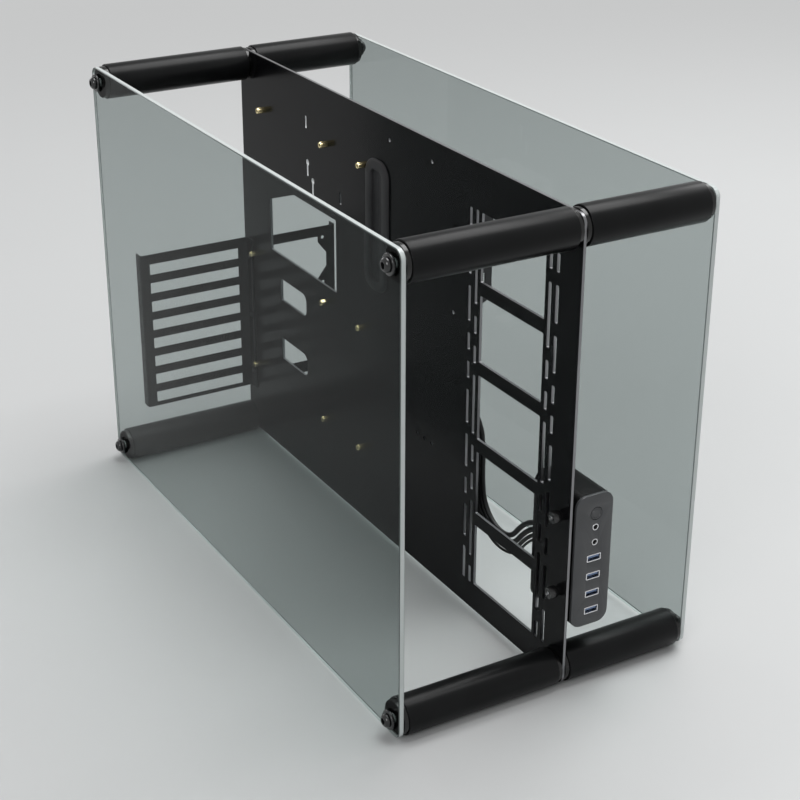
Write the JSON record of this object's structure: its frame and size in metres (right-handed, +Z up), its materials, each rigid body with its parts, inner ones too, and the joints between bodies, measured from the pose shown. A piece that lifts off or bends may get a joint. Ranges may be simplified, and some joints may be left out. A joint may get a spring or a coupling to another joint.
{
  "type": "desktop pc case",
  "caption": "Open-frame desktop computer case: smoked glass sides and a slotted black motherboard tray held apart by round corner tubes, with a front port panel.",
  "frame": {"origin": "on the floor under the middle of the case", "axes": "+X to the right seen from the front, +Y to the rear, +Z up"},
  "size_m": [0.3, 0.596, 0.42],
  "materials": {
    "smoked_glass": "polished, smoked",
    "tray_black": "smooth black with a soft gloss",
    "tube_black": "satin black",
    "plug_black": "matte black",
    "fixing_black": "blackened",
    "stud_steel": "plain",
    "standoff_brass": "plain",
    "bracket_black": "satin black",
    "black_rubber": "matte",
    "face_grey": "satin dark grey",
    "housing_black": "matte black",
    "circuit_green": "lacquered",
    "port_steel": "plated",
    "tongue_blue": "moulded",
    "jack_black": "moulded",
    "key_black": "satin",
    "cable_black": "matte",
    "header_black": "moulded"
  },
  "bodies": {
    "case": {"left_glass_panel": "smoked_glass", "right_glass_panel": "smoked_glass", "motherboard_tray": "tray_black", "left_tubes": "tube_black", "right_tubes": "tube_black", "left_tube_plugs": "plug_black", "right_tube_plugs": "plug_black", "tray_studs": "stud_steel", "left_glass_washers": "plug_black", "right_glass_washers": "plug_black", "left_glass_screws": "fixing_black", "right_glass_screws": "fixing_black", "board_standoffs": "standoff_brass", "expansion_bracket": "bracket_black", "supply_bracket": "bracket_black", "rear_bracket_screws": "fixing_black", "drive_bracket": "bracket_black", "drive_bracket_screws": "fixing_black", "cable_grommet": "black_rubber", "panel_faceplate": "face_grey", "panel_housing": "housing_black", "panel_circuit_board": "circuit_green", "usb_shells": "port_steel", "usb_tongues": "tongue_blue", "audio_jacks": "jack_black", "power_switch": "jack_black", "panel_thumbscrews": "fixing_black", "cable_gland": "black_rubber", "cable_clip": "header_black", "usb_cable_1": "cable_black", "usb_cable_2": "cable_black", "audio_cable": "cable_black", "switch_cable": "cable_black", "usb_header_1": "header_black", "usb_header_2": "header_black", "audio_header": "header_black", "switch_header": "header_black"},
    "button": {"power_button": "key_black"}
  },
  "joints": [
    {"name": "power_button_press", "type": "slide", "parent": "case", "child": "button", "axis": [0, 1, 0], "range_m": [0, 0.0015], "stiffness_N_per_m": 400}
  ]
}
